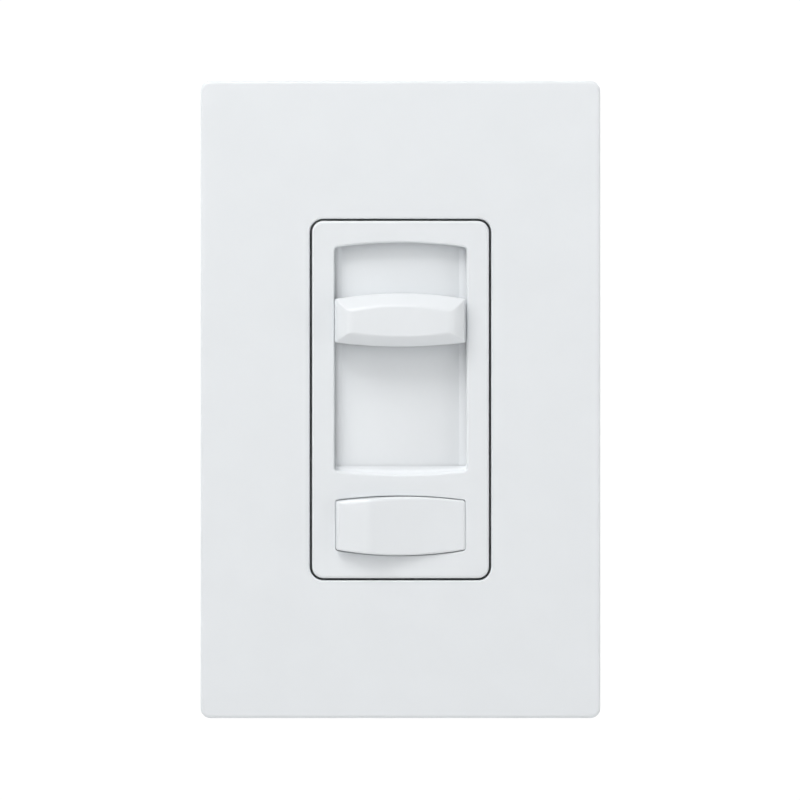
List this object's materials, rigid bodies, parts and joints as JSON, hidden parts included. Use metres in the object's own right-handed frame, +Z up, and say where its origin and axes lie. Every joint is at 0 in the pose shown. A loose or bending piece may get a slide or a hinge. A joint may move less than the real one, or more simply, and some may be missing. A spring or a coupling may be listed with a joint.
{
  "type": "slide dimmer switch",
  "caption": "One-gang wall dimmer: a slider knob over an on/off rocker in a rectangular bezel, with a screwless cover plate, metal yoke and back housing.",
  "frame": {"origin": "centre of the wall plate, on the wall's surface", "axes": "+X to the right of someone facing the wall, +Z up, +Y into the wall; the front faces -Y"},
  "size_m": [0.0746, 0.043, 0.119],
  "materials": {
    "white_plastic": "satin gloss",
    "white_matte_plastic": "matte",
    "nylon": "matte",
    "yoke_aluminium": "brushed",
    "zinc_steel": "zinc plated",
    "green_steel": "green dyed",
    "brass": "plain",
    "bronze": "plain",
    "winding_copper": "enamelled",
    "housing_plastic": "matte",
    "fibre": "matte",
    "circuit_board": "satin",
    "track_board": "satin",
    "component_epoxy": "matte",
    "ferrite": "matte",
    "yellow_case": "satin",
    "red_case": "satin",
    "blue_epoxy": "gloss",
    "tan_lacquer": "satin"
  },
  "bodies": {
    "chassis": {"cover_plate": "white_plastic", "adapter_plate": "white_matte_plastic", "adapter_screw_upper": "zinc_steel", "adapter_screw_lower": "zinc_steel", "bezel": "white_plastic", "floor_panel": "white_plastic", "pot_case": "zinc_steel", "pot_track": "track_board", "fixed_contact": "bronze", "line_terminal": "brass", "load_terminal": "brass", "line_screw": "brass", "load_screw": "brass", "line_clamp": "zinc_steel", "load_clamp": "zinc_steel", "yoke": "yoke_aluminium", "mounting_screw_upper": "zinc_steel", "mounting_screw_lower": "zinc_steel", "screw_washer_upper": "fibre", "screw_washer_lower": "fibre", "ground_screw": "green_steel", "back_housing": "housing_plastic", "housing_screw_1": "zinc_steel", "housing_screw_2": "zinc_steel", "housing_screw_3": "zinc_steel", "housing_screw_4": "zinc_steel", "circuit_board": "circuit_board", "triac": "component_epoxy", "triac_insulator": "fibre", "triac_rivet": "zinc_steel", "choke_core": "ferrite", "choke_winding": "winding_copper", "film_capacitor": "yellow_case", "trigger_capacitor": "red_case", "varistor": "blue_epoxy", "diac": "red_case", "resistor_1": "tan_lacquer", "resistor_2": "tan_lacquer", "resistor_3": "tan_lacquer"},
    "slider": {"slider_knob": "white_plastic", "slider_carriage": "nylon", "pot_wiper": "nylon"},
    "rocker": {"rocker_paddle": "white_plastic", "toggle_plunger": "nylon", "toggle_spring": "zinc_steel"},
    "contact": {"contact_seesaw": "bronze"}
  },
  "joints": [
    {"name": "slider_slide", "type": "slide", "parent": "chassis", "child": "slider", "axis": [0, 0, 1], "range_m": [-0.0216, 0.009]},
    {"name": "rocker_tilt", "type": "hinge", "parent": "chassis", "child": "rocker", "pos_m": [0, -0.0056, -0.0234], "axis": [0, 0, 1], "range_deg": [-10, 0]},
    {"name": "contact_tilt", "type": "hinge", "parent": "chassis", "child": "contact", "pos_m": [0, 0.0087, -0.0234], "axis": [0, 0, 1], "range_deg": [0, 12]}
  ],
  "couplings": [
    {"joint": "contact_tilt", "follows": "rocker_tilt", "ratio": -1.2}
  ]
}
